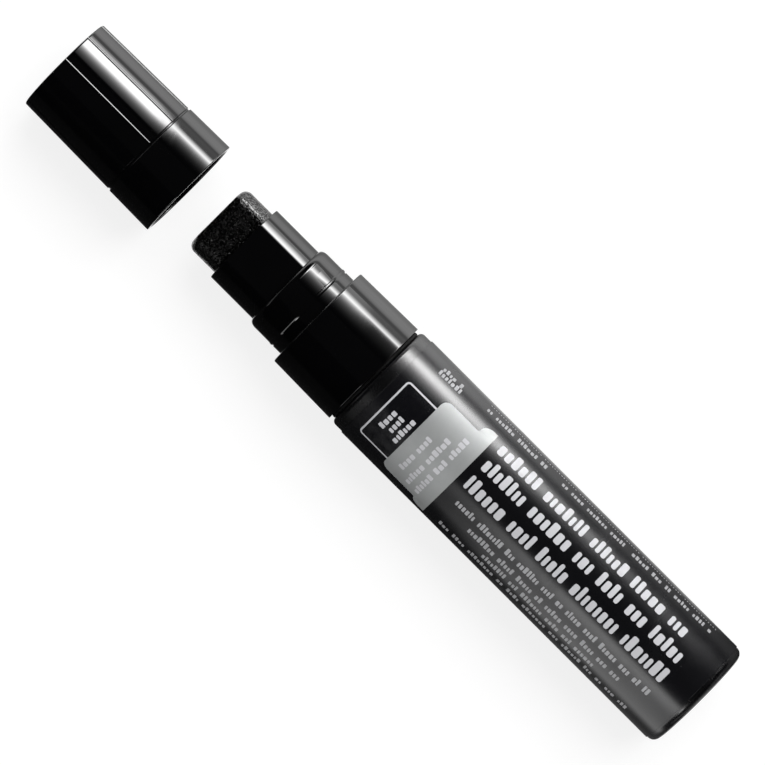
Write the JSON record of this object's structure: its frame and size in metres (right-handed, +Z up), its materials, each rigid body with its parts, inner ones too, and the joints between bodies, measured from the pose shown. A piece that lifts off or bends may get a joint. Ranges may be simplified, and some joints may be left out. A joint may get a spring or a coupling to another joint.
{
  "type": "chalkboard marker",
  "caption": "Extra-wide felt-nib marker with a press-to-prime valve, mixing ball and pull-off cap with a liner.",
  "frame": {"origin": "on the surface that the marker lies on, under the middle of its whole length with the cap drawn off", "axes": "+X along the marker's axis from the cap towards the tail, +Z up"},
  "size_m": [0.164, 0.0234, 0.0235],
  "materials": {
    "gloss_black": "high gloss",
    "satin_black": "satin",
    "label_film": "satin printed film",
    "black_felt": "coarse pressed felt, soaked with black paint",
    "natural_plastic": "milky, unpainted",
    "black_rubber": "matt",
    "steel": "plain bright"
  },
  "bodies": {
    "barrel": {"barrel": "satin_black", "label_sleeve": "label_film", "barrel_gasket": "black_rubber", "front_housing": "gloss_black", "nib_holder": "gloss_black", "valve_housing": "natural_plastic", "valve_seat_ring": "black_rubber", "valve_cage": "natural_plastic", "valve_spring": "steel"},
    "nib": {"nib": "black_felt"},
    "valve_stem": {"valve_stem": "natural_plastic"},
    "mixing_ball": {"mixing_ball": "steel"},
    "cap": {"cap_shell": "gloss_black", "inner_cap": "natural_plastic"}
  },
  "joints": [
    {"name": "cap_slide", "type": "slide", "parent": "barrel", "child": "cap", "axis": [1, 0, 0], "range_m": [0, 0.0329]},
    {"name": "nib_press", "type": "slide", "parent": "barrel", "child": "nib", "axis": [1, 0, 0], "range_m": [0, 0.002], "stiffness_N_per_m": 1200, "deforming": ["valve_spring"]},
    {"name": "stem_slide", "type": "slide", "parent": "barrel", "child": "valve_stem", "axis": [1, 0, 0], "range_m": [0, 0.002]},
    {"name": "ball_roll", "type": "slide", "parent": "barrel", "child": "mixing_ball", "axis": [1, 0, 0], "range_m": [-0.0328, 0.0328]}
  ],
  "couplings": [
    {"joint": "stem_slide", "follows": "nib_press", "ratio": 1}
  ]
}
